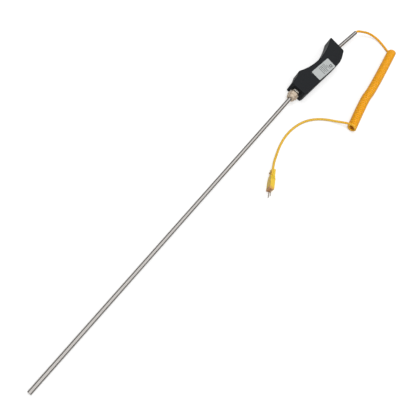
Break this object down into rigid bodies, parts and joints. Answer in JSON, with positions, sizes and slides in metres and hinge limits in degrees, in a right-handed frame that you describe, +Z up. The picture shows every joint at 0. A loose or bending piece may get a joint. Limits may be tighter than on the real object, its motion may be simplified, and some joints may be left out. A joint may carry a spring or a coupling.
{
  "type": "soil thermometer probe",
  "caption": "Handheld soil temperature probe: long thin steel stem, moulded two-shell grip, compression gland and a curly lead ending in a flat two-blade plug.",
  "frame": {"origin": "on the table, under the middle of the rigid probe (stem tip to guide tube end), on the stem's vertical plane", "axes": "+X from the grip to the stem's tip, along the stem; +Z up from the table that the probe lies on; +Y towards the coiled lead"},
  "size_m": [0.8715, 0.1445, 0.0269],
  "materials": {
    "stainless_steel": "drawn stainless tube, fine lengthwise grain",
    "mineral_powder": "pressed magnesia powder",
    "potting_resin": "cast resin",
    "thermocouple_alloy": "drawn wire",
    "seal_rubber": "moulded, matt",
    "nickel_plate": "nickel-plated brass, turned",
    "nut_nickel": "nickel-plated brass, satin",
    "ring_brass": "turned",
    "grip_plastic": "fine moulded grain",
    "screw_steel": "zinc-plated",
    "label_foil": "satin printed foil",
    "tie_nylon": "nylon",
    "splice_metal": "tinned crimp",
    "core_sleeve": "thin insulation",
    "lead_jacket": "soft polyurethane, satin",
    "plug_plastic": "moulded, fine grain",
    "clamp_plastic": "moulded",
    "clamp_screw_steel": "blackened",
    "blade_alloy": "stamped strip"
  },
  "bodies": {
    "probe": {"sheath_tube": "stainless_steel", "tip_cap": "stainless_steel", "sheath_insulation": "mineral_powder", "sheath_end_seal": "potting_resin", "thermocouple_wire_positive": "thermocouple_alloy", "thermocouple_wire_negative": "thermocouple_alloy", "junction_bead": "thermocouple_alloy", "gland_gasket": "seal_rubber", "gland_body": "nickel_plate", "gland_locknut": "nickel_plate", "handle_upper_shell": "grip_plastic", "handle_lower_shell": "grip_plastic", "handle_screws": "screw_steel", "label_plate": "label_foil", "lead_guide_tube": "stainless_steel", "guide_tube_collars": "screw_steel", "cord_inner_lead": "lead_jacket", "lead_tie": "tie_nylon", "wire_splices": "splice_metal", "cord_cores": "core_sleeve", "plug_cores": "core_sleeve", "plug_base": "plug_plastic", "plug_lid": "plug_plastic", "plug_blade_positive": "blade_alloy", "plug_blade_negative": "blade_alloy", "plug_terminal_screws": "screw_steel", "plug_lid_screw": "screw_steel", "plug_cable_clamp": "clamp_plastic", "plug_clamp_screws": "clamp_screw_steel", "cord_upper_lead": "lead_jacket", "cord_coil": "lead_jacket", "cord_lower_lead": "lead_jacket"},
    "gripping_ring": {"gland_gripping_ring": "ring_brass"},
    "cap_nut": {"gland_cap_nut": "nut_nickel"}
  },
  "joints": [
    {"name": "ring_slide", "type": "slide", "parent": "probe", "child": "gripping_ring", "axis": [0.9999, 0, -0.0143], "range_m": [0, 0.003]},
    {"name": "nut_turn", "type": "hinge", "parent": "gripping_ring", "child": "cap_nut", "pos_m": [-0.20182, 0, 0.01229], "axis": [0.9999, 0, -0.0143], "range_deg": [0, 720]}
  ],
  "couplings": [
    {"joint": "ring_slide", "follows": "nut_turn", "m_per_rad": 0.0002387}
  ]
}
